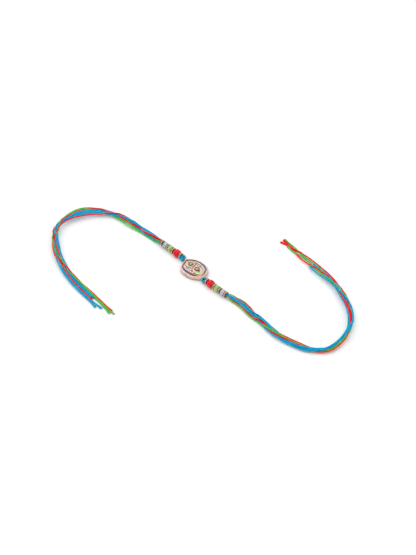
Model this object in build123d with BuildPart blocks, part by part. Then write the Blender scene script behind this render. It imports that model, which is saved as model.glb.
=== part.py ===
import os
from math import asin, cos, pi, radians, sin, sqrt, tan

from build123d import *

# Rakhi: a gilt medallion with enamel and stones, a short string of beads on each side of it,
# and loose coloured threads that leave the beads and lie on the surface.
# Lengths are millimetres. X runs from point to point of the medallion, Z is up, and the origin
# is the middle of the medallion's flat back.

# Medallion
half_length = 10.0
half_width = 7.9
tip_round = 0.9
rim_height = 3.0
rim_width = 0.85
rim_round = 0.45
channel_floor = 2.0
channel_enamel_height = 0.4
dome_half_length = 8.3
dome_half_width = 5.7
dome_tip_round = 1.2
dome_height = 4.1
dome_radius = 24.0
piece_gap = 0.06

# Points of the outline's two sides, from tip to tip, as shares of its half length and half width.
# The casting is hand finished and a little fuller on its upper side.
outline_upper = [
    (-1.00, 0.00),
    (-0.79, 0.41),
    (-0.51, 0.74),
    (-0.13, 0.93),
    (0.27, 1.00),
    (0.59, 0.90),
    (0.83, 0.57),
    (1.00, 0.00),
]
outline_lower = [
    (1.00, 0.00),
    (0.83, -0.35),
    (0.56, -0.68),
    (0.17, -0.88),
    (-0.23, -0.95),
    (-0.55, -0.84),
    (-0.785, -0.46),
    (-1.00, 0.00),
]

# Two enamelled teardrops on the dome, one for each tip
drop_centres = {"left": (-2.75, -0.3), "right": (3.0, 0.45)}
drop_turn = 4.0
red_radius = 1.85
red_reach = 3.05
leaf_radius = 2.75
leaf_shift = 0.8
leaf_reach = 3.5
cell_wall = 0.25
collar_wall = 0.15
pad_wall = 0.4
pad_lift = 0.35
cell_depth = 0.45
enamel_drop = 0.12

# Stones
drop_stone_diameter = 2.0
drop_stone_rise = 0.45
small_stone_diameter = 1.15
small_stone_rise = 0.3
stone_facets = 8
stone_table_share = 0.58
stone_depth_share = 0.36
stone_seat_depth_share = 0.42
girdle_share = 0.06

# Small clear stones of the left group, as shares of the dome's half length and half width.
# The right group is the same after half a turn, a little further out.
small_stone_spots = [
    (-0.425, -0.745),
    (-0.250, -0.805),
    (-0.075, -0.795),
    (0.100, -0.760),
    (0.270, -0.695),
    (0.430, -0.600),
    (-0.080, -0.555),
    (0.105, -0.520),
    (0.012, -0.308),
]
small_stone_shift = {"left": (0.0, 0.0), "right": (0.15, 0.2)}

# Thread eye at each tip of the medallion
eye_hole = 2.0
eye_wire = 0.6
eye_round_share = 0.4
eye_sink = 0.1
eye_height = 1.62

# Beads, from the medallion outwards
string_turn = 12.0
eye_to_core = 0.5
core_lead = 0.65
bead_gap = 0.1
bead_bore = 2.0
rondelle_diameter = 3.9
rondelle_length = 1.4
rondelle_flange = 0.25
rondelle_hub_diameter = 2.7
rondelle_stone_count = 10
rondelle_stone_width = 0.8
rondelle_stone_height = 0.5
red_bead_diameter = 5.2
red_bead_length = 5.2
red_bead_sides = 10
green_bead_diameter = 4.2
green_bead_length = 3.1
green_bead_round = 0.9
crystal_bead_diameter = 4.1
crystal_bead_length = 3.6
crystal_bead_sides = 8

# Rings of facets on a cut bead: share of its length, share of its radius
red_bead_rings = [(0.0, 0.48), (0.17, 0.83), (0.38, 1.0), (0.62, 1.0), (0.83, 0.83), (1.0, 0.48)]
crystal_bead_rings = [(0.0, 0.58), (0.3, 1.0), (0.7, 1.0), (1.0, 0.58)]

# Threads
core_diameter = 1.7
core_stub = 0.5
loop_thread = 1.3
loop_radius = 1.15
loop_open = 70.0
loop_end_gap = 0.15
bundle_diameter = 3.0
bundle_lead = 4.0

# Where each loose bundle goes after it leaves the beads, lying on the surface
right_route = [
    (42.0, 8.7),
    (53.5, 9.2),
    (60.5, 11.0),
    (69.0, 11.7),
    (79.0, 13.2),
    (90.0, 17.6),
    (98.0, 22.4),
    (103.0, 27.8),
    (104.6, 35.0),
    (102.2, 44.0),
    (97.0, 52.2),
    (90.2, 59.0),
    (82.6, 63.6),
    (73.4, 66.9),
    (61.8, 69.0),
    (50.5, 69.4),
    (41.8, 67.9),
    (33.6, 66.8),
    (26.5, 65.3),
    (21.0, 63.8),
    (13.5, 63.5),
    (8.2, 62.6),
]
left_route = [
    (-42.0, -5.9),
    (-54.0, -8.8),
    (-69.8, -12.3),
    (-79.4, -18.8),
    (-84.8, -28.3),
    (-86.9, -39.2),
    (-83.4, -50.4),
    (-76.4, -57.4),
    (-68.3, -62.3),
    (-59.4, -65.7),
    (-49.4, -67.0),
    (-36.5, -67.2),
    (-22.3, -66.6),
    (-8.0, -65.6),
    (5.9, -63.8),
]

# Sizes that follow from those above
string_height = red_bead_diameter / 2
eye_centre = half_length + eye_hole / 2 - eye_sink
core_distance = eye_hole / 2 + eye_wire + eye_to_core
first_bead_distance = core_distance + core_lead
dome_middle = (0, 0, dome_height - dome_radius)
sides = {"left": -1, "right": 1}


def pointed_oval(length, width, tip_radius):
    """The medallion's outline for this half length and half width."""
    upper = [(x * length, y * width) for x, y in outline_upper]
    lower = [(x * length, y * width) for x, y in outline_lower]
    with BuildSketch() as sketch:
        with BuildLine():
            Spline(*upper)
            Spline(*lower)
        make_face()
        fillet(sketch.vertices(), radius=tip_radius)
    return sketch.sketch


def rim_outline(inset):
    """The rim's outer edge, drawn in by inset."""
    return pointed_oval(half_length - inset, half_width - inset, tip_round)


def dome_outline(grow):
    """The dome's edge, pushed out by grow."""
    return pointed_oval(dome_half_length + grow, dome_half_width + grow, dome_tip_round)


def teardrop(radius, reach, shift=0.0, grow=0.0):
    """Round about shift, drawn out along X to a point at shift plus reach, then grown."""
    touch_x = radius * radius / reach
    touch_y = radius * sqrt(1 - (radius / reach) ** 2)
    with BuildSketch() as sketch:
        with BuildLine():
            Line((shift + reach, 0), (shift + touch_x, touch_y))
            ThreePointArc((shift + touch_x, touch_y), (shift - radius, 0), (shift + touch_x, -touch_y))
            Line((shift + touch_x, -touch_y), (shift + reach, 0))
        make_face()
        if grow:
            offset(amount=grow, kind=Kind.ARC, mode=Mode.REPLACE)
    return sketch.sketch


def drop_plane(name):
    """Level plane at the middle of a teardrop, X towards its point."""
    turn = radians(drop_turn)
    side = sides[name]
    return Plane(
        origin=(*drop_centres[name], 0),
        x_dir=(side * cos(turn), side * sin(turn), 0),
        z_dir=(0, 0, 1),
    )


def dome_plane(x, y, lift=0.0):
    """Plane that touches the dome, raised by lift, above the point x, y."""
    radius = dome_radius + lift
    drop = sqrt(radius**2 - x**2 - y**2)
    return Plane(origin=(x, y, dome_middle[2] + drop), z_dir=(x, y, drop))


def red_cell(shrink=0.0):
    """Ring of red enamel between the stone's collar and the teardrop's edge."""
    collar = drop_stone_diameter / 2 + piece_gap + collar_wall
    with BuildSketch() as sketch:
        add(teardrop(red_radius, red_reach, grow=-shrink))
        Circle(collar + shrink, mode=Mode.SUBTRACT)
    return sketch.sketch


def leaf_cell(shrink=0.0):
    """Crescent of pale green enamel outside the red one, widest at the point."""
    with BuildSketch() as sketch:
        add(teardrop(leaf_radius, leaf_reach, leaf_shift, grow=-shrink))
        add(teardrop(red_radius, red_reach, grow=cell_wall + shrink), mode=Mode.SUBTRACT)
    return sketch.sketch


def under_dome(lift):
    """Keep what lies under the dome raised by lift."""
    with Locations(dome_middle):
        Sphere(dome_radius + lift, mode=Mode.INTERSECT)


def over_dome(lift):
    """Keep what lies over the dome raised by lift."""
    with Locations(dome_middle):
        Sphere(dome_radius + lift, mode=Mode.SUBTRACT)


def cut_stone(plane, diameter, rise):
    """Round stone with a table, a ring of crown facets and a pointed back."""
    girdle = diameter * girdle_share
    with BuildPart() as stone:
        with BuildSketch(plane):
            RegularPolygon(diameter / 2, stone_facets)
        extrude(amount=girdle)
        with BuildSketch(plane.offset(girdle)):
            RegularPolygon(diameter / 2, stone_facets)
        with BuildSketch(plane.offset(rise)):
            RegularPolygon(diameter / 2 * stone_table_share, stone_facets)
        loft(ruled=True)
        with BuildSketch(plane):
            RegularPolygon(diameter / 2, stone_facets)
        with BuildSketch(plane.offset(-diameter * stone_depth_share)):
            RegularPolygon(diameter * girdle_share, stone_facets)
        loft(ruled=True)
    return stone.part


def cut_seat(plane, diameter):
    """Sink a round seat for a stone into the part being built."""
    depth = diameter * stone_seat_depth_share
    with Locations(plane.offset(-depth)):
        Cylinder(
            diameter / 2 + piece_gap,
            depth + diameter,
            align=(Align.CENTER, Align.CENTER, Align.MIN),
            mode=Mode.SUBTRACT,
        )


def string_direction(side):
    """Which way a string of beads leaves the medallion."""
    turn = radians(string_turn)
    return Vector(side * cos(turn), side * sin(turn), 0)


def eye_plane(side):
    """Plane of a thread eye, which stands up in line with its string of beads."""
    along = string_direction(side)
    return Plane(origin=(side * eye_centre, 0, eye_height), x_dir=along, z_dir=along.cross(Vector(0, 0, 1)))


def save(part, name):
    part.label = name
    export_step(part, f"parts/{name}.step")


os.makedirs("parts", exist_ok=True)

# Places of the stones
drop_stone_planes = {name: dome_plane(*centre, pad_lift) for name, centre in drop_centres.items()}
small_stone_planes = {}
for name, side in sides.items():
    shift_x, shift_y = small_stone_shift[name]
    for number, (x, y) in enumerate(small_stone_spots, start=1):
        spot_x = shift_x - side * x * dome_half_length
        spot_y = shift_y - side * y * dome_half_width
        small_stone_planes[f"{name}_{number}"] = dome_plane(spot_x, spot_y)

# Dome with its two raised teardrop pads
with BuildPart() as dome:
    with BuildSketch():
        add(dome_outline(0))
    extrude(amount=dome_height)
    under_dome(0)

pads = []
for name in sides:
    with BuildPart() as pad:
        with BuildSketch(drop_plane(name)):
            add(teardrop(leaf_radius, leaf_reach, leaf_shift, grow=pad_wall))
        extrude(amount=dome_height + pad_lift)
        under_dome(pad_lift)
    pads.append(pad.part)

# Hollows for the enamel
cutters = []
for name in sides:
    for cell in (red_cell(), leaf_cell()):
        with BuildPart() as cutter:
            with BuildSketch(drop_plane(name)):
                add(cell)
            extrude(amount=2 * dome_height)
            over_dome(pad_lift - cell_depth)
        cutters.append(cutter.part)

# Thread eyes, rings of round wire that stand at the tips
eyes = []
for side in sides.values():
    with BuildPart() as eye:
        with BuildSketch(eye_plane(side).offset(-eye_wire / 2)):
            Circle(eye_hole / 2 + eye_wire)
            Circle(eye_hole / 2, mode=Mode.SUBTRACT)
        extrude(amount=eye_wire)
        fillet(eye.edges().filter_by(GeomType.CIRCLE), radius=eye_wire * eye_round_share)
    eyes.append(eye.part)

# Medallion body, one casting with its two thread eyes
with BuildPart() as medallion_body:
    with BuildSketch():
        add(rim_outline(0))
    extrude(amount=rim_height)
    fillet(medallion_body.faces().sort_by(Axis.Z)[-1].edges(), radius=rim_round)
    fillet(medallion_body.faces().sort_by(Axis.Z)[0].edges(), radius=rim_round)
    with BuildSketch(Plane.XY.offset(channel_floor)):
        add(rim_outline(rim_width))
    extrude(amount=rim_height, mode=Mode.SUBTRACT)
    add(dome.part)
    add(pads)
    add(cutters, mode=Mode.SUBTRACT)
    for plane in drop_stone_planes.values():
        cut_seat(plane, drop_stone_diameter)
    for plane in small_stone_planes.values():
        cut_seat(plane, small_stone_diameter)
    add(eyes)
save(medallion_body.part, "medallion_body")

# Enamel in the channel between the rim and the dome
with BuildPart() as channel_enamel:
    with BuildSketch(Plane.XY.offset(channel_floor + piece_gap)):
        add(rim_outline(rim_width + piece_gap))
        add(dome_outline(piece_gap), mode=Mode.SUBTRACT)
    extrude(amount=channel_enamel_height)
save(channel_enamel.part, "channel_enamel")

# Enamel and stone of each teardrop
for name in sides:
    for colour, cell in (("red", red_cell(piece_gap)), ("leaf", leaf_cell(piece_gap))):
        with BuildPart() as enamel:
            with BuildSketch(drop_plane(name)):
                add(cell)
            extrude(amount=2 * dome_height)
            over_dome(pad_lift - cell_depth + piece_gap)
            under_dome(pad_lift - enamel_drop)
        save(enamel.part, f"{colour}_enamel_{name}")
    save(cut_stone(drop_stone_planes[name], drop_stone_diameter, drop_stone_rise), f"drop_stone_{name}")

for name, plane in small_stone_planes.items():
    save(cut_stone(plane, small_stone_diameter, small_stone_rise), f"small_stone_{name}")


def string_plane(side, distance):
    """Plane across the string of beads, distance along it from the thread eye."""
    start = Vector(side * eye_centre, 0, string_height)
    along = string_direction(side)
    return Plane(origin=start + along * distance, x_dir=(0, 0, 1), z_dir=along)


def drill(plane, length):
    """Bore a bead of this length for its thread."""
    with Locations(plane.offset(length / 2)):
        Cylinder(bead_bore / 2, 2 * length, mode=Mode.SUBTRACT)


def rondelle(plane):
    """Spacer with two flanges and a hub for stones between them."""
    with BuildPart() as spacer:
        for offset_along in (0, rondelle_length - rondelle_flange):
            with BuildSketch(plane.offset(offset_along)):
                Circle(rondelle_diameter / 2)
            extrude(amount=rondelle_flange)
        with BuildSketch(plane):
            Circle(rondelle_hub_diameter / 2)
        extrude(amount=rondelle_length)
        drill(plane, rondelle_length)
    return spacer.part


def rondelle_stones(plane):
    """Ring of small cut stones that face outwards between the flanges."""
    middle = plane.offset(rondelle_length / 2)
    base = rondelle_hub_diameter / 2 + piece_gap
    with BuildPart() as stones:
        for number in range(rondelle_stone_count):
            angle = radians(360 * number / rondelle_stone_count)
            out = middle.x_dir * cos(angle) + middle.y_dir * sin(angle)
            seat = Plane(origin=middle.origin + out * base, x_dir=plane.z_dir, z_dir=out)
            with BuildSketch(seat):
                RegularPolygon(rondelle_stone_width / 2, stone_facets)
            with BuildSketch(seat.offset(rondelle_stone_height / 2)):
                RegularPolygon(rondelle_stone_width / 2, stone_facets)
            with BuildSketch(seat.offset(rondelle_stone_height)):
                RegularPolygon(rondelle_stone_width / 2 * stone_table_share, stone_facets)
            loft(ruled=True)
    return stones.part


def cut_bead(plane, diameter, length, facet_sides, rings):
    """Drilled bead with rings of flat facets."""
    with BuildPart() as bead:
        for along, width in rings:
            with BuildSketch(plane.offset(along * length)):
                RegularPolygon(width * diameter / 2, facet_sides)
        loft(ruled=True)
        drill(plane, length)
    return bead.part


def barrel_bead(plane):
    """Drilled round bead with soft ends."""
    with BuildPart() as bead:
        with BuildSketch(plane):
            Circle(green_bead_diameter / 2)
        extrude(amount=green_bead_length)
        fillet(bead.edges().filter_by(GeomType.CIRCLE), radius=green_bead_round)
        drill(plane, green_bead_length)
    return bead.part


def bead_string(name, side):
    """Write one side's beads and give the distance at which the last one ends."""
    at = first_bead_distance
    rondelles = 0
    for kind in ("rondelle", "red", "rondelle", "green", "rondelle", "crystal", "rondelle"):
        plane = string_plane(side, at)
        if kind == "rondelle":
            rondelles += 1
            save(rondelle(plane), f"rondelle_{name}_{rondelles}")
            save(rondelle_stones(plane), f"rondelle_stones_{name}_{rondelles}")
            at += rondelle_length
        elif kind == "red":
            bead = cut_bead(plane, red_bead_diameter, red_bead_length, red_bead_sides, red_bead_rings)
            save(bead, f"red_bead_{name}")
            at += red_bead_length
        elif kind == "green":
            save(barrel_bead(plane), f"green_bead_{name}")
            at += green_bead_length
        else:
            bead = cut_bead(
                plane, crystal_bead_diameter, crystal_bead_length, crystal_bead_sides, crystal_bead_rings
            )
            save(bead, f"crystal_bead_{name}")
            at += crystal_bead_length
        at += bead_gap
    return at - bead_gap


def thread_core(side, end):
    """Threads folded through the medallion's eye, and drawn through the beads."""
    rise = string_height - eye_height
    reach = first_bead_distance - loop_end_gap
    lean = asin(rise / reach)
    along = string_direction(side) * cos(lean) + Vector(0, 0, sin(lean))
    across = Vector(0, 0, 1).cross(along)
    fold = Plane(origin=eye_plane(side).origin, x_dir=along, z_dir=along.cross(across))
    opening = radians(loop_open)
    leave_x = loop_radius * (1 + cos(opening))
    leave_y = loop_radius * sin(opening)
    end_x = reach - loop_thread / 2 * sin(radians(90) - opening)
    end_y = leave_y - (end_x - leave_x) / tan(opening)
    with BuildPart() as core:
        with BuildLine(fold) as path:
            Line((end_x, end_y), (leave_x, leave_y))
            ThreePointArc((leave_x, leave_y), (0, 0), (leave_x, -leave_y))
            Line((leave_x, -leave_y), (end_x, -end_y))
        start = path.wire() @ 0
        with BuildSketch(Plane(origin=start, z_dir=path.wire() % 0)):
            Circle(loop_thread / 2)
        sweep(path=path.wire())
        with BuildSketch(string_plane(side, core_distance)):
            Circle(core_diameter / 2)
        extrude(amount=end + core_stub - core_distance)
    return core.part


def bend_radii(points):
    """Arc radius at each corner of a route, as large as its two runs allow."""
    radii = []
    for before, corner, after in zip(points, points[1:], points[2:]):
        run_in = corner - before
        run_out = after - corner
        half_turn = radians(run_in.get_angle(run_out)) / 2
        radii.append(0.45 * min(run_in.length, run_out.length) / tan(half_turn))
    return radii


def thread_tail(name, side, start, route):
    """The loose bundle of threads, from the core's end to its own ends."""
    rest = bundle_diameter / 2
    lead = start + string_direction(side) * bundle_lead
    points = [start, lead] + [Vector(x, y, rest) for x, y in route]
    radii = bend_radii(points)
    with BuildPart() as tail:
        with BuildLine() as path:
            FilletPolyline(*points, radius=radii)
        with BuildSketch(Plane(origin=start, z_dir=string_direction(side))):
            Circle(bundle_diameter / 2)
        sweep(path=path.wire())
    length = path.wire().length
    section = pi * rest**2
    print(f"{name} bundle: length {length:.1f}, volume {tail.part.volume:.1f}")
    print(f"section times length {section * length:.1f}")
    print("radii " + ", ".join(f"{radius:.1f}" for radius in radii))
    return tail.part


for name, side in sides.items():
    end = bead_string(name, side)
    save(thread_core(side, end), f"thread_core_{name}")
    start = string_plane(side, end + core_stub).origin
    route = right_route if side > 0 else left_route
    save(thread_tail(name, side, start, route), f"thread_tail_{name}")
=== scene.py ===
"""Rakhi thread bracelet: its threads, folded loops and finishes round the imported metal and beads."""
import math
import random

import bpy
import numpy as np
from mathutils import Matrix, Vector


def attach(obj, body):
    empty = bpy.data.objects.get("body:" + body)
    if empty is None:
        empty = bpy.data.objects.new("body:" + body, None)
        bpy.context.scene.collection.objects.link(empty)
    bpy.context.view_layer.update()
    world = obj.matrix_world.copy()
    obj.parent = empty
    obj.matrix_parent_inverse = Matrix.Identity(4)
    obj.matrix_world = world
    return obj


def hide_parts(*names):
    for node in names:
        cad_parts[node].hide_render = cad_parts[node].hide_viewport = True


MM = 0.001

# Threads
THREADS = {"blue": 0.96 * MM, "red": 0.96 * MM, "green": 0.84 * MM}
LOOSENED = 1.14
LOOSE_FROM = 120 * MM
LOOSE_AT = 160 * MM
LOWEST = 0.47 * MM
LAYER = 0.82 * MM
STEP = 0.3 * MM
PLY_PITCH = 3.2 * MM
PLY_SIDES = 12
PLY_DEPTH = 0.17
END_CONE = 0.35
SQUEEZED = 0.53
FRAYED = 0.7
FRAYED_LENGTH = 5.5 * MM
TUFT_FIBRES = 14
TUFT_FIBRE = 0.16 * MM
OPENING = 6 * MM
FANNING = 3.6 * MM
FULL_FROM = 0.6 * OPENING
FREED_FROM = 1 * MM
FREED_OVER = 3 * MM
SOFTNESS = 0.88
SETTLE_ROUNDS = 90
SINK_STEP = 0.02 * MM
PULL_BACK = 0.06
BOW_BLUR = 20
OFF_FLOOR = 0.02 * MM
BORE_RING = 0.66 * MM
BORE_START = 1.3 * MM
BORE_TURN = math.radians(20)
STRING_TURN = math.radians(12)

# Route of each side's threads, the same points as in the part's source
EXITS = {"right": Vector((31.78, 4.44, 2.6)) * MM, "left": Vector((-31.78, -4.44, 2.6)) * MM}
LEADS = {"right": (35.70, 5.27, 2.6), "left": (-35.70, -5.27, 2.6)}
ROUTES = {
    "right": [
        (42.0, 8.7), (53.5, 9.2), (60.5, 11.0), (69.0, 11.7), (79.0, 13.2), (90.0, 17.6), (98.0, 22.4),
        (103.0, 27.8), (104.6, 35.0), (102.2, 44.0), (97.0, 52.2), (90.2, 59.0), (82.6, 63.6), (73.4, 66.9),
        (61.8, 69.0), (50.5, 69.4), (41.8, 67.9), (33.6, 66.8), (26.5, 65.3), (21.0, 63.8), (13.5, 63.5),
        (8.2, 62.6),
    ],
    "left": [
        (-42.0, -5.9), (-54.0, -8.8), (-69.8, -12.3), (-79.4, -18.8), (-84.8, -28.3), (-86.9, -39.2),
        (-83.4, -50.4), (-76.4, -57.4), (-68.3, -62.3), (-59.4, -65.7), (-49.4, -67.0), (-36.5, -67.2),
        (-22.3, -66.6), (-8.0, -65.6), (5.9, -63.8),
    ],
}
BUNDLE_REST = 1.5

# How high each bundle bows off the surface: distance from the beads and height, in millimetres
BOWS = {
    "right": [
        (0, 0), (4, 0), (10, 0.9), (16, 0.6), (24, 0.4), (45, 1.2), (75, 1.0), (100, 2.6), (125, 3.0),
        (150, 2.4), (175, 0.8), (197, 0),
    ],
    "left": [(0, 0), (20, 0.3), (45, 1.5), (75, 3.0), (100, 2.8), (125, 1.2), (150, 0.6), (178, 0)],
}

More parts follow.
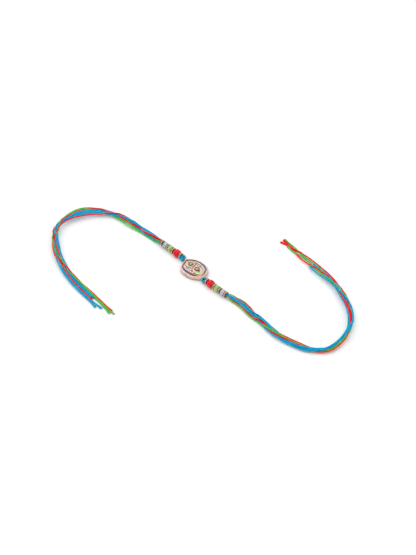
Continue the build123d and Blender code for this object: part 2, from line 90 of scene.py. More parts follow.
# How each thread wanders in its bundle: distance from the beads and offset towards the inside of the
# curve, both in millimetres, and the layer that it starts from, which settles which thread crosses over
# which. The last distance is where the thread is cut.
LANES = {
    "right": {
        "green_a": [
            (4, 3.7, 0), (8, 4.0, 0), (11, 3.5, 0), (14, 2.9, 0), (17, 2.2, 0), (20, 1.3, 0),
            (26, 0.3, 0), (32, -0.4, 0), (36, -0.6, 1), (40, 0.2, 2), (44, 0.8, 2), (48, 1.4, 1),
            (53, 1.8, 1), (60, 1.5, 0), (68, 1.0, 0), (74, 1.0, 0), (80, 1.3, 0), (84, 1.0, 0),
            (90, 0.5, 0), (97, 0.3, 0), (106, -0.2, 0), (118, 0, 0), (128, -0.2, 0), (134, 0.1, 1),
            (140, 0.9, 1), (147, 1.3, 1), (153, 1.6, 1), (158, 2.1, 0), (162, 2.2, 0), (166, 1.7, 0),
            (170, 0.7, 1), (175, 0.4, 1), (180, 0.4, 1), (183, 0.8, 1), (186, 1.0, 1), (188.5, 0.8, 0),
            (190.3, 0.5, 0),
        ],
        "green_b": [
            (5, -0.5, 0), (9, -1.1, 0), (13, -1.6, 0), (17, -2.0, 0), (21, -2.3, 0), (26, -2.1, 0),
            (30, -2.0, 1), (34, -1.7, 1), (37, -1.1, 2), (41, -0.3, 2), (45, 0.2, 2), (49, 0.6, 1),
            (53, 0.9, 1), (58, 0.8, 0), (64, 0.6, 0), (72, 0.3, 0), (77, 0.2, 0), (81, 0.2, 1),
            (86, 0.3, 1), (91, 0.5, 1), (95, 0.6, 1), (99, 0.4, 0), (106, 0.2, 0), (112, 0.1, 0),
            (124, 0.1, 0), (134, -0.4, 0), (140, 0.3, 0), (147, 0.9, 0), (152, 1.1, 0), (156, 0.9, 0),
            (160, 0.2, 1), (165, -0.6, 1), (171, -0.7, 1), (176, -0.6, 0), (180, -1.2, 0),
            (184, -2.2, 0), (187, -2.5, 0), (191, -2.1, 0), (194, -2.0, 0), (196.8, -2.6, 0),
        ],
        "red_a": [
            (4, 2.7, 0), (8, 3.1, 0), (11, 2.8, 0), (14, 2.7, 1), (18, 2.4, 1), (21, 1.9, 0),
            (24, 1.2, 0), (28, 0.6, 0), (33, 0.4, 0), (38, 0.5, 0), (41, 0.9, 0), (44, 1.4, 0),
            (49, 2.0, 0), (54, 2.4, 0), (58, 2.7, 0), (62, 2.7, 0), (66, 2.1, 0), (70, 1.2, 0),
            (76, 1.1, 0), (84, 1.3, 0), (92, 1.2, 0), (100, 0.5, 0), (108, 0.2, 0), (112, 0.2, 1),
            (116, 0.1, 2), (120, 0.3, 2), (124, 0.8, 2), (127, 1.1, 1), (130, 0.2, 0), (133, -0.6, 0),
            (139, -0.2, 1), (145, -0.2, 1), (150, -0.7, 0), (154, -1.1, 0), (160, -1.5, 0),
            (165, -1.8, 0), (170, -1.9, 0), (176, -2.0, 0), (182, -1.6, 0), (186, -0.6, 1), (189, 0, 1),
            (192, 0.3, 1), (194.4, 0.4, 1), (196.8, 1.9, 1),
        ],
        "red_b": [
            (4, 0.1, 0), (7, -0.2, 0), (11, -0.7, 0), (14, -1.1, 0), (17, -1.2, 1), (20, -1.4, 1),
            (24, -1.2, 1), (28, -0.8, 2), (31, -0.6, 2), (34, -0.5, 2), (37, -0.8, 2), (40, -1.1, 1),
            (43, -0.7, 1), (47, -0.5, 1), (51, 0, 1), (55, 0.4, 1), (60, 0.6, 1), (66, 0.4, 0),
            (71, 0.1, 0), (76, 0, 0), (80, -0.4, 0), (86, -0.4, 0), (93, -0.1, 0), (100, -0.1, 0),
            (106, -0.3, 0), (110, 0.2, 1), (114, 0.5, 2), (119, 1.1, 2), (123, 1.6, 2), (126, 2.0, 2),
            (129, 2.2, 1), (132, 1.9, 0), (136, 1.6, 0), (140, 1.2, 0), (144, 0.8, 0), (148, 0.4, 1),
            (152, 0.3, 2), (158, 0.9, 2), (163, 1.4, 2), (167, 1.9, 1), (172, 2.4, 0), (176, 2.6, 0),
            (180, 1.6, 0), (184, -0.1, 0), (187, -1.0, 0), (191, -0.6, 0), (194.6, -0.5, 0),
            (197.6, -2.4, 1),
        ],
        "blue_a": [
            (4, 1.6, 1), (8, 1.7, 1), (12, 1.2, 1), (16, 0.9, 1), (19, 1.0, 1), (22, 1.5, 1),
            (25, 2.1, 1), (28, 2.1, 1), (32, 2.0, 1), (37, 1.8, 1), (42, 1.8, 0), (46, 1.4, 0),
            (51, 0.5, 0), (58, 0.1, 1), (64, 0.2, 1), (69, 1.4, 2), (74, 1.6, 2), (80, 2.3, 1),
            (87, 2.8, 0), (92, 2.5, 0), (98, 2.0, 0), (104, 1.5, 0), (112, 1.7, 0), (119, 2.4, 0),
            (126, 2.4, 0), (130, 2.4, 1), (135, 2.2, 1), (139, 2.2, 0), (145, 1.8, 0), (150, 1.3, 0),
            (156, 1.1, 0),
        ],
        "blue_b": [
            (4, 0.6, 1), (7, 0.6, 1), (10, 0.3, 1), (13, -0.2, 1), (17, -0.4, 1), (20, -0.2, 1),
            (22, 0, 1), (25, 0.5, 1), (29, 0.8, 1), (33, 0.8, 1), (38, 0.4, 1), (44, 0.2, 1),
            (52, -0.2, 0), (58, -0.6, 1), (64, -0.6, 1), (70, 0.4, 1), (76, 0.9, 1), (84, 1.6, 1),
            (92, 1.4, 1), (100, 0.4, 1), (106, -0.3, 1), (112, -0.8, 1), (120, -0.9, 1), (126, -0.6, 2),
            (130, 0, 2), (136, 0.9, 2), (143, 1.9, 1), (149, 2.3, 0), (152, 2.8, 0), (155, 3.6, 0),
            (158, 4.1, 0), (161, 4.1, 0), (164, 3.7, 0), (168, 2.8, 0),
        ],
        "blue_c": [
            (4, 1.8, 0), (8, 2.2, 0), (12, 1.8, 0), (17, 1.4, 0), (23, 1.4, 0), (28, 1.6, 0),
            (34, 1.4, 1), (40, 0.4, 1), (46, -0.6, 0), (52, -0.7, 1), (58, -0.6, 0), (64, -0.9, 0),
            (70, -0.2, 1), (76, 0.7, 1), (81, 1.3, 1), (86, 1.5, 1), (92, 1.5, 2), (97, 1.1, 2),
            (101, 0.6, 2), (106, 0.3, 1), (112, -0.4, 1), (118, -0.1, 0), (124, 0.3, 0), (129, 0.9, 0),
            (136, 0.6, 0), (144, 0.5, 0), (150, -0.1, 0), (156, -0.2, 0), (162, 0, 0), (168, 0, 0),
        ],
        "blue_d": [
            (4, 0.8, 0), (8, 0.7, 0), (13, 0.2, 0), (17, 0, 0), (24, -0.3, 0), (30, -1.2, 0),
            (35, -2.1, 0), (39, -2.3, 0), (47, -2.1, 0), (55, -1.6, 0), (63, -1.9, 0), (67, -1.4, 0),
            (71, -0.5, 0), (75, 0.8, 1), (80, 1.6, 1), (86, 1.9, 1), (92, 1.7, 1), (98, 1.2, 1),
            (106, 0.8, 0), (115, 1.3, 0), (124, 1.5, 0), (130, 1.3, 0), (138, 1.3, 0), (146, 1.0, 0),
            (152, 0.8, 0),
        ],
    },
    "left": {
        "green_a": [
            (6, 1.4, 0), (9, 1.9, 0), (13, 2.1, 0), (19, 2.3, 0), (23, 2.9, 0), (27, 3.4, 0),
            (31, 3.4, 0), (36, 2.8, 0), (41, 2.1, 0), (47, 1.0, 0), (52, -0.6, 0), (56, -2.6, 0),
            (60, -3.8, 0), (64, -4.2, 0), (67, -3.9, 0), (71, -3.0, 0), (76, -1.9, 1), (80, -1.0, 1),
            (84, 0.3, 1), (90, 1.3, 1), (96, 0.3, 0), (104, 0.4, 0), (115, 0.2, 0), (130, 0.4, 0),
            (145, 0.6, 0), (155, 0.6, 0), (161, 0.8, 0), (166, 0.5, 0), (170, 0.1, 0), (174.5, -0.7, 0),
        ],
        "green_b": [
            (6, -0.2, 0), (12, -0.1, 0), (16, 0.3, 0), (19, 0.8, 0), (22, 1.3, 0), (26, 1.5, 0),
            (31, 1.4, 0), (37, 1.3, 0), (41, 1.3, 0), (46, 0.8, 0), (51, -0.8, 0), (56, -2.1, 0),
            (60, -2.9, 0), (64, -3.1, 0), (68, -2.8, 0), (72, -2.0, 0), (77, -1.1, 0), (85, -1.2, 0),
            (92, -1.5, 1), (96, -1.4, 2), (101, -1.1, 2), (106, -0.7, 2), (110, -0.2, 2), (114, 0.3, 2),
            (118, 0.7, 2), (121, 1.0, 1), (125, 0.5, 1), (130, 0, 1), (137, 0.2, 1), (146, 0.9, 1),
            (156, 1.1, 1), (164, 1.4, 0), (172, 1.3, 0), (177, 1.2, 0),
        ],
        "red_a": [
            (5, -1.2, 2), (8, -0.8, 2), (11, -0.1, 2), (15, 0.5, 2), (21, 0.4, 2), (26, 0.4, 2),
            (30, 0.7, 2), (34, 1.1, 1), (37, 1.4, 0), (40, 1.0, 0), (46, 0.2, 0), (52, -0.8, 1),
            (55, -1.2, 1), (58, -1.7, 1), (61, -2.0, 1), (64, -2.2, 1), (68, -1.8, 1), (71, -1.4, 1),
            (75, -0.9, 2), (78, -0.4, 2), (82, 0.4, 2), (86, 1.0, 2), (91, 0.6, 1), (95, -0.6, 0),
            (99, -1.3, 0), (104, -1.4, 0), (109, -1.6, 0), (113, -1.3, 1), (116, -1.0, 2), (120, 0, 2),
            (125, 0.5, 2), (131, 0.6, 2), (136, 0.9, 1), (142, 1.2, 1), (150, 1.8, 1), (157, 2.0, 0),
            (162, 2.1, 0), (168, 1.7, 0), (174, 1.6, 0),
        ],
        "red_b": [
            (5, -1.2, 1), (8, -0.9, 1), (11, -0.2, 1), (15, 0.2, 0), (20, 0, 0), (24, -0.3, 0),
            (28, -1.0, 0), (31, -1.9, 0), (34, -2.0, 1), (36, -1.3, 2), (38, -0.7, 2), (41, 0.3, 2),
            (44, 1.5, 2), (47, 2.4, 2), (52, 3.2, 1), (57, 3.5, 1), (62, 3.3, 0), (68, 2.9, 0),
            (73, 1.9, 0), (78, 0.8, 0), (84, -0.6, 0), (87, -1.7, 0), (90, -2.0, 1), (93, -1.1, 2),
            (96.5, -0.1, 2), (101, 0.7, 2), (106, 1.1, 2), (110, 1.2, 2), (114, 1.0, 1), (118, 0.2, 0),
            (122, -1.1, 1), (127, -2.0, 2), (135, -2.4, 2), (146, -2.5, 2), (151, -2.3, 1),
            (155, -2.2, 0), (158, -2.4, 0),
        ],
        "blue_a": [
            (8, -2.7, 1), (13, -2.3, 1), (18, -2.2, 1), (24, -2.0, 1), (28, -1.7, 1), (33, -1.2, 1),
            (38, -0.8, 1), (41, -0.5, 1), (50, -0.5, 1), (56, -1.2, 0), (62, -1.8, 0), (68, -1.4, 0),
            (72, -0.5, 0), (77, 0.1, 0), (83, 0.1, 0), (90, 0.9, 0), (96, 2.0, 0), (105, 2.9, 0),
            (112, 2.6, 0), (118, 2.2, 0), (126, 1.4, 0), (133, 0.1, 0), (140, -0.3, 0), (150, -0.3, 0),
            (157, 0, 0),
        ],
        "blue_b": [
            (8, -1.9, 0), (13, -1.5, 1), (18, -1.3, 1), (24, -1.0, 1), (28, -0.8, 1), (33, -0.4, 1),
            (38, 0.2, 1), (45, 0.6, 0), (52, 0.4, 0), (58, -0.4, 0), (62, -0.6, 0), (66, -0.3, 0),
            (70, 0.6, 1), (75, 1.0, 1), (80, -1.0, 1), (84, -1.7, 0), (90, -0.6, 1), (95, 0.9, 1),
            (101, 1.9, 1), (110, 2.0, 1), (116, 1.4, 0), (122, 0.6, 0), (128, -0.5, 0), (136, -1.0, 0),
            (147, -0.9, 0), (156, -0.3, 0),
        ],
        "blue_c": [
            (6, 0.2, 0), (10, 0.8, 0), (14, 1.0, 0), (17, 0.9, 1), (20, 0.5, 1), (24, -0.1, 1),
            (28, -0.3, 0), (33, 0.2, 0), (38, 0.8, 0), (44, 2.0, 0), (50, 2.8, 0), (56, 2.4, 0),
            (62, 2.0, 0), (68, 1.9, 0), (75, 0.6, 0), (82, -0.6, 0), (92, -0.7, 0), (101, -0.2, 0),
            (108, -0.4, 0), (115, -1.7, 0), (123, -2.8, 0), (130, -3.5, 0), (138, -3.9, 0),
            (147, -3.8, 0), (156, -3.4, 0), (162, -3.6, 0), (164.5, -4.0, 0),
        ],
        "blue_d": [
            (6, -1.0, 0), (15, -0.8, 0), (25, -1.2, 0), (32, -0.8, 0), (40, 1.2, 0), (52, 1.8, 1),
            (58, 0.9, 0), (63, 0.7, 0), (68, 0.9, 0), (76, -0.1, 1), (84, -0.3, 1), (92, 0.4, 0),
            (100, 0.9, 0), (107, 1.1, 0), (113, 0.5, 0), (119, -0.9, 0), (126, -2.0, 0), (133, -2.8, 0),
            (142, -3.1, 0), (150, -3.0, 0), (157, -2.6, 0), (163, -2.1, 0), (168, -1.6, 0),
        ],
    },
}

# Loops through the thread eyes
EYE_CENTRE = 10.9 * MM
EYE_HEIGHT = 1.62 * MM
STRING_HEIGHT = 2.6 * MM
LOOP_RADIUS = 1.32 * MM
LOOP_THREAD = 0.72 * MM
LOOP_LEAN = 0.4
LOOP_STRANDS = 4
LOOP_BEND_STEP = math.radians(22.5)
CORE_THREAD = 0.46 * MM
CORE_ARM = 0.42 * MM
CORE_END = 19.9 * MM
FIRST_BEAD = 2.75 * MM
LOOP_TWIST = math.radians(450)

# Places on the medallion that its finishes follow
DROP_CENTRES = ((-2.75 * MM, -0.3 * MM), (3.0 * MM, 0.45 * MM))
DOME_HALVES = (8.3 * MM, 5.7 * MM)
DOME_RADIUS = 24.0 * MM
DOME_CENTRE_HEIGHT = -19.9 * MM
EYE_START = 10.3 * MM

# Camera
SENSOR = 36
CAMERA_AZIMUTH = math.radians(57)
CAMERA_ELEVATION = math.radians(44.5)
CAMERA_DISTANCE = 1.5
CAMERA_AIM = Vector((9.62, 4.50, 0)) * MM
VIEW_WIDTH = 264.1 * MM


def tint(red, green, blue):
    """A colour as seen on a screen, 0 to 255, in the values that a shader takes."""
    shares = [value / 255 for value in (red, green, blue)]
    lit = [((share + 0.055) / 1.055) ** 2.4 if share > 0.04 else share / 12.92 for share in shares]
    return (*lit, 1)


class Number:
    """A number that changes over a surface, so that shader maths reads as plain sums."""

    def __init__(self, finish, socket):
        self.finish = finish
        self.socket = socket

    def __add__(self, other):
        return self.finish.sum_of("ADD", self, other)

    def __radd__(self, other):
        return self.finish.sum_of("ADD", other, self)

    def __sub__(self, other):
        return self.finish.sum_of("SUBTRACT", self, other)

    def __rsub__(self, other):
        return self.finish.sum_of("SUBTRACT", other, self)

    def __mul__(self, other):
        return self.finish.sum_of("MULTIPLY", self, other)

    def __rmul__(self, other):
        return self.finish.sum_of("MULTIPLY", other, self)

    def __pow__(self, other):
        return self.finish.sum_of("POWER", self, other)


class Finish:
    """A material: its name, the values that are the same all over, and the nodes that work out the rest."""

    def __init__(self, name, **same_all_over):
        self.material = bpy.data.materials.new(name)
        self.material.use_nodes = True
        self.tree = self.material.node_tree
        self.shader = self.tree.nodes["Principled BSDF"]
        for socket, value in same_all_over.items():
            self.shader.inputs[socket.replace("_", " ")].default_value = value

    def node(self, kind, settings=None, sockets=None):
        """Any node: its type, its settings, which come first, and the values or links of its sockets."""
        made = self.tree.nodes.new(kind)
        for setting, value in (settings or {}).items():
            if setting == "stops":
                self.set_stops(made.color_ramp, value)
            else:
                setattr(made, setting, value)
        for socket, value in (sockets or {}).items():
            self.feed(made.inputs[socket], value)
        return made

    def set_stops(self, ramp, stops):
        """Put a ramp's colours at their places."""
        while len(ramp.elements) < len(stops):
            ramp.elements.new(1)
        for element, (place, colour) in zip(ramp.elements, stops):
            element.position = place
            element.color = colour

    def feed(self, socket, value):
        """Link a socket to what is worked out, or set its value."""
        if isinstance(value, Number):
            value = value.socket
        if isinstance(value, bpy.types.NodeSocket):
            self.tree.links.new(value, socket)
        else:
            socket.default_value = value

    def sum_of(self, operation, first, second):
        made = self.node("ShaderNodeMath", {"operation": operation}, {0: first, 1: second})
        return Number(self, made.outputs[0])

    def place(self, kind="Object"):
        """Where a point of the surface is, in metres, or in the piece's own thread map."""
        return self.node("ShaderNodeTexCoord").outputs[kind]

    def parts(self, vector):
        """The x, y and z of a place as numbers."""
        made = self.node("ShaderNodeSeparateXYZ", None, {0: vector})
        return [Number(self, output) for output in made.outputs]

    def joined(self, x, y, z):
        return self.node("ShaderNodeCombineXYZ", None, {0: x, 1: y, 2: z}).outputs[0]

    def mottle(self, size, detail=2.0, rough=0.5):
        """Soft patches of about this size in metres, as a number from 0 to 1."""
        sockets = {"Vector": self.place(), "Scale": 1 / size, "Detail": detail, "Roughness": rough}
        return Number(self, self.node("ShaderNodeTexNoise", None, sockets).outputs[0])

    def facets(self, size):
        """A different colour on each small facet of about this size in metres."""
        sockets = {"Vector": self.place(), "Scale": 1 / size}
        made = self.node("ShaderNodeTexVoronoi", None, sockets)
        return made.outputs["Color"]

    def ramp(self, number, stops):
        """A number turned into a colour by stops along a ramp."""
        made = self.node("ShaderNodeValToRGB", {"stops": stops}, {0: number})
        return made.outputs["Color"]

    def mask(self, number, low, high):
        """0 below one value of a number and 1 above another, smooth between."""
        settings = {"interpolation_type": "SMOOTHSTEP", "clamp": True}
        made = self.node("ShaderNodeMapRange", settings, {0: number, 1: low, 2: high, 3: 0.0, 4: 1.0})
        return Number(self, made.outputs[0])

    def mixed(self, share, first, second, way="MIX"):
        """Two colours mixed by a share."""
        settings = {"data_type": "RGBA", "blend_type": way}
        made = self.node("ShaderNodeMix", settings, {0: share, 6: first, 7: second})
        return made.outputs[2]

    def round_about(self, centre, across, along=None):
        """How far a point is from a centre in plan, as a share of the half widths."""
        x, y, _ = self.parts(self.place())
        away_x = (x - centre[0]) * (1 / across)
        away_y = (y - centre[1]) * (1 / (along or across))
        return (away_x * away_x + away_y * away_y) ** 0.5

    def colour(self, value):
        self.feed(self.shader.inputs["Base Color"], value)

    def metallic(self, value):
        self.feed(self.shader.inputs["Metallic"], value)

    def roughness(self, value):
        self.feed(self.shader.inputs["Roughness"], value)

    def relief(self, height, depth, strength=1.0):
        """Fine relief of a depth in metres."""
        made = self.node("ShaderNodeBump", None, {"Strength": strength, "Distance": depth, "Height": height})
        self.feed(self.shader.inputs["Normal"], made.outputs[0])


def thread_finish(name, lit, shaded, worn):
    """Twisted silk thread: filaments streaked between its lit colour and a shaded copy (painted sheen and
    shade), painted shade in the grooves between the plies, patches of wear.
    """
    finish = Finish(name, Specular_IOR_Level=0.12)
    around, along, _ = finish.parts(finish.place("UV"))
    # Painted shade: a mask of the grooves between the plies, where shade is painted.
    groove = finish.sum_of("COSINE", around * (4 * math.pi), 0.0)
    groove_shade = finish.mask(groove * -1, 0.2, 1.0)
    stretched = finish.joined(around * 26, along * 900, 0.0)
    sockets = {"Vector": stretched, "Scale": 1.0, "Detail": 3.0, "Roughness": 0.6}
    filaments = finish.node("ShaderNodeTexNoise", None, sockets)
    strands = Number(finish, filaments.outputs[0])
    patches = finish.mottle(5 * MM, 2.0)
    # Painted sheen and shade: the filaments streaked between the lit colour and its shaded copy.
    body = finish.mixed(finish.mask(strands, 0.3, 0.62), shaded, lit)
    body = finish.mixed(finish.mask(patches, 0.5, 0.75) * 0.45, body, worn)
    # Painted shade in the grooves, towards the shaded copy of the colour.
    finish.colour(finish.mixed(groove_shade * 0.5, body, shaded))
    finish.roughness(0.45 + 0.2 * strands)
    finish.relief(strands, 0.04 * MM, 0.4)
    return finish.material


def gilt_metal():
    """Rose gilt casting: worn bright rim and pads, dull dome among the stones, dark violet collars round the
    stones, and painted shade low down and on the thread eyes.
    """
    finish = Finish("gilt_metal")
    x, y, z = finish.parts(finish.place())
    grain = finish.mottle(0.35 * MM, 4.0, rough=0.65)
    patches = finish.mottle(2.6 * MM, 3.0)
    above = z - DOME_CENTRE_HEIGHT
    from_centre = (x * x + y * y + above * above) ** 0.5
    on_dome = 1 - finish.mask(finish.round_about((0, 0), *DOME_HALVES), 0.8, 0.95)
    on_dome = on_dome * (1 - finish.mask(from_centre, DOME_RADIUS + 0.08 * MM, DOME_RADIUS + 0.25 * MM))
    # Painted shade: the metal darkened low down near the surface, where its own shadow falls.
    low = 1 - finish.mask(z, 0.1 * MM, 1.4 * MM)
    body = finish.mixed(finish.mask(patches, 0.35, 0.7), tint(229, 207, 192), tint(211, 180, 158))
    body = finish.mixed(finish.mask(grain, 0.55, 0.8) * 0.45, body, tint(176, 132, 104))
    body = finish.mixed(low * 0.7, body, tint(132, 106, 96))
    dull = finish.mixed(finish.mask(grain, 0.4, 0.65), tint(132, 92, 68), tint(190, 148, 120))
    body = finish.mixed(on_dome * 0.9, body, dull)
    # Painted shade: the thread eyes darkened nearly black, for the shade inside the thread loops.
    eye_shade = finish.mask(finish.sum_of("ABSOLUTE", x, 0.0), EYE_START, EYE_START + 0.5 * MM)
    body = finish.mixed(eye_shade * 0.85, body, tint(46, 34, 30))
    # Dark violet collars round the two stones, less metallic than the gilt.
    collar = 1 - finish.mask(finish.round_about(DROP_CENTRES[0], 1 * MM), 1.3, 1.42)
    collar = collar + (1 - finish.mask(finish.round_about(DROP_CENTRES[1], 1 * MM), 1.3, 1.42))
    finish.colour(finish.mixed(collar, body, tint(84, 22, 50)))
    finish.metallic(1 - 0.9 * collar)
    finish.roughness(0.26 + 0.2 * patches + 0.12 * grain + 0.15 * on_dome)
    finish.relief(grain, 0.03 * MM, 0.5)
    return finish.material


def spacer_metal():
    """Yellow gilt of the spacers, with small dark flecks all over."""
    finish = Finish("spacer_metal", Metallic=1.0)
    patches = finish.mottle(0.7 * MM, 3.0)
    grain = finish.mottle(0.16 * MM, 3.0)
    body = finish.mixed(finish.mask(patches, 0.35, 0.65), tint(122, 82, 42), tint(206, 160, 96))
    finish.colour(finish.mixed(finish.mask(grain, 0.5, 0.72) * 0.6, body, tint(76, 46, 24)))
    finish.roughness(0.24 + 0.25 * patches)
    finish.relief(grain, 0.02 * MM, 0.5)
    return finish.material


def channel_enamel():
    """Enamel of the channel, which changes from blue and purple to maroon and brown round the medallion."""
    finish = Finish("channel_enamel", Coat_Weight=0.6, Coat_Roughness=0.12)
    x, y, _ = finish.parts(finish.place())
    turn = finish.sum_of("ARCTAN2", y, x) * (0.5 / math.pi) + 0.5
    wander = turn + 0.05 * (finish.mottle(1.6 * MM, 2.0) - 0.5)
    brown, maroon, magenta = tint(92, 66, 54), tint(88, 44, 58), tint(158, 76, 124)
    blue, slate, purple = tint(62, 84, 156), tint(84, 116, 150), tint(118, 104, 158)
    grey = tint(84, 80, 80)
    stops = [
        (0.00, brown), (0.06, maroon), (0.125, magenta), (0.16, blue), (0.24, blue), (0.31, purple),
        (0.36, slate), (0.41, maroon), (0.47, brown), (0.51, grey), (0.58, tint(58, 56, 64)), (0.64, slate),
        (0.70, blue), (0.76, grey), (0.83, tint(120, 112, 124)), (0.87, maroon), (0.92, tint(104, 80, 84)),
        (1.00, brown),
    ]
    cloud = finish.mottle(0.5 * MM, 3.0)
    body = finish.ramp(wander, stops)
    finish.colour(finish.mixed(finish.mask(cloud, 0.55, 0.8) * 0.35, body, tint(150, 150, 190)))
    finish.roughness(0.22 + 0.15 * cloud)
    finish.relief(cloud, 0.03 * MM, 0.4)
    return finish.material


def leaf_enamel():
    """Pale green enamel of the crescents, cream on the side of the medallion's middle."""
    finish = Finish("leaf_enamel", Coat_Weight=0.7, Coat_Roughness=0.1)
    x, _, _ = finish.parts(finish.place())
    out = finish.sum_of("ABSOLUTE", x, 0.0)
    cloud = finish.mottle(0.6 * MM, 3.0)
    share = finish.mask(out + 1.2 * MM * (cloud - 0.5), 2.9 * MM, 4.6 * MM)
    body = finish.mixed(share, tint(232, 206, 170), tint(192, 214, 134))
    finish.colour(finish.mixed(finish.mask(cloud, 0.55, 0.75) * share * 0.5, body, tint(150, 190, 108)))
    finish.roughness(0.2 + 0.12 * cloud)
    finish.relief(cloud, 0.03 * MM, 0.3)
    return finish.material


def red_enamel():
    """Dark red enamel, with a thin violet line round the stone."""
    finish = Finish("red_enamel", Coat_Weight=0.3, Coat_Roughness=0.1, Specular_IOR_Level=0.3)
    cloud = finish.mottle(0.5 * MM, 3.0)
    body = finish.mixed(finish.mask(cloud, 0.4, 0.65), tint(150, 10, 26), tint(196, 26, 40))
    for centre in DROP_CENTRES:
        away = finish.round_about(centre, 1.25 * MM)
        body = finish.mixed((1 - finish.mask(away, 0.95, 1.2)) * 0.75, body, tint(96, 30, 76))
    finish.colour(body)
    finish.roughness(0.18 + 0.12 * cloud)
    finish.relief(cloud, 0.02 * MM, 0.3)
    return finish.material


def aqua_stone():
    """Aqua cut stones with a painted dark green reflection on one side."""
    finish = Finish("aqua_stone", Coat_Weight=1.0, Coat_Roughness=0.03, Roughness=0.12, IOR=1.6)
    facets = finish.facets(0.55 * MM)
    body = finish.mixed(0.12, tint(112, 218, 200), facets, "SOFT_LIGHT")
    # Painted reflection: a dark green patch on one side of each stone.
    for centre, aside in zip(DROP_CENTRES, (0.45 * MM, 0.3 * MM)):
        away = finish.round_about((centre[0] + aside, centre[1] - 0.1 * MM), 0.55 * MM)
        body = finish.mixed((1 - finish.mask(away, 0.5, 1.25)) * 0.85, body, tint(58, 142, 78))
    finish.colour(body)
    return finish.material


def clear_stone():
    """Clear foiled stones, each facet with its own painted flash of faint pink, violet or green, and some
    with a painted darker brown reflection.
    """
    finish = Finish("clear_stone", Coat_Weight=1.0, Coat_Roughness=0.03, IOR=1.6)
    red, green, _ = finish.parts(finish.facets(0.42 * MM))
    flash = finish.ramp(red, [
        (0.0, tint(255, 253, 250)), (0.35, tint(255, 242, 240)), (0.55, tint(236, 222, 234)),
        (0.7, tint(226, 240, 230)), (0.84, tint(214, 190, 184)), (1.0, tint(255, 255, 252)),
    ])
    # Painted reflections: a light flash on each facet, darker brown on some.
    finish.colour(finish.mixed(finish.mask(green, 0.78, 0.95) * 0.5, flash, tint(170, 136, 124)))
    finish.roughness(0.05 + 0.12 * green)
    return finish.material


def red_bead():
    """Red glass beads, mottled darker in patches, with small painted pink highlights."""
    finish = Finish("red_bead", Coat_Weight=0.2, Coat_Roughness=0.15, Specular_IOR_Level=0.2)
    cloud = finish.mottle(1.5 * MM, 3.0)
    fine = finish.mottle(0.5 * MM, 3.0)
    body = finish.mixed(finish.mask(cloud, 0.35, 0.68), tint(196, 6, 14), tint(246, 22, 30))
    # Painted highlights: small pink patches.
    body = finish.mixed(finish.mask(fine, 0.58, 0.75) * 0.5, body, tint(250, 96, 104))
    finish.colour(body)
    finish.roughness(0.2 + 0.2 * fine)
    finish.relief(cloud, 0.25 * MM, 0.6)
    return finish.material


def green_bead():
    """Pale green opal glass barrels."""
    finish = Finish("green_bead", Coat_Weight=0.9, Coat_Roughness=0.06, IOR=1.5)
    cloud = finish.mottle(1.2 * MM, 3.0)
    body = finish.mixed(finish.mask(cloud, 0.35, 0.65), tint(118, 166, 66), tint(178, 210, 116))
    finish.colour(body)
    finish.roughness(0.16 + 0.12 * cloud)
    finish.relief(cloud, 0.05 * MM, 0.3)
    return finish.material


def crystal_bead():
    """Clear cut crystal with painted white and grey reflections on its facets."""
    finish = Finish("crystal_bead", Coat_Weight=1.0, Coat_Roughness=0.02, IOR=1.6, Transmission_Weight=0.45)
    facets = finish.facets(1.1 * MM)
    red, green, _ = finish.parts(facets)
    # Painted reflections: each facet white or grey, some darker slate.
    body = finish.ramp(red, [
        (0.0, tint(252, 252, 252)), (0.35, tint(214, 220, 230)), (0.6, tint(150, 160, 178)),
        (0.8, tint(236, 236, 240)), (1.0, tint(180, 186, 196)),
    ])
    finish.colour(finish.mixed(finish.mask(green, 0.8, 0.95) * 0.4, body, tint(110, 116, 130)))
    finish.roughness(0.05 + 0.06 * green)
    return finish.material


def paint_cad_nodes(nodes):
    """Give each CAD node its finish."""
    finishes = {
        "medallion_body": gilt_metal(),
        "channel_enamel": channel_enamel(),
        "leaf_enamel": leaf_enamel(),
        "red_enamel": red_enamel(),
        "drop_stone": aqua_stone(),
        "small_stone": clear_stone(),
        "red_bead": red_bead(),
        "green_bead": green_bead(),
        "crystal_bead": crystal_bead(),
        "rondelle": spacer_metal(),
    }
    finishes["rondelle_stones"] = finishes["small_stone"]
    for name, node in nodes.items():
        starts = [start for start in finishes if name.startswith(start)]
        if starts:
            finish = finishes[max(starts, key=len)]
            node.data.materials.clear()
            node.data.materials.append(finish)


def smooth_line(name, points):
    """The smooth line of a route, read from its NURBS spline."""
    curve = bpy.data.curves.new(name, "CURVE")
    curve.dimensions = "3D"
    spline = curve.splines.new("NURBS")
    spline.points.add(len(points) - 1)
    for control, point in zip(spline.points, points):
        control.co = (*point, 1)
    spline.order_u = 3
    spline.use_endpoint_u = True
    spline.resolution_u = 40
    holder = bpy.data.objects.new(name, curve)
    bpy.context.collection.objects.link(holder)
    read = bpy.data.meshes.new_from_object(holder)
    line = np.array([vertex.co for vertex in read.vertices])
    bpy.data.objects.remove(holder)
    bpy.data.curves.remove(curve)
    bpy.data.meshes.remove(read)
    return line


def even_line(line, step):
    """The same line with its points a step apart, and their distances along it."""
    runs = np.linalg.norm(np.diff(line, axis=0), axis=1)
    distances = np.concatenate([[0], np.cumsum(runs)])
    count = max(2, round(distances[-1] / step) + 1)
    wanted = np.linspace(0, distances[-1], count)
    return np.stack([np.interp(wanted, distances, line[:, axis]) for axis in range(3)], axis=1), wanted


def blurred(values, reach):
    """Values smoothed over a reach of so many points to each side."""
    weights = np.hanning(2 * reach + 3)[1:-1]
    padded = np.pad(values, reach, mode="edge")
    return np.convolve(padded, weights / weights.sum(), mode="valid")


def bore_ring(count, turn):
    """Places of a side's threads in a bead's bore: one in the middle and the rest round it."""
    places = [(0.0, 0.0)]
    for number in range(count - 1):
        angle = turn + 2 * math.pi * number / (count - 1)
        places.append((BORE_RING * math.cos(angle), BORE_RING * math.sin(angle)))
    return places


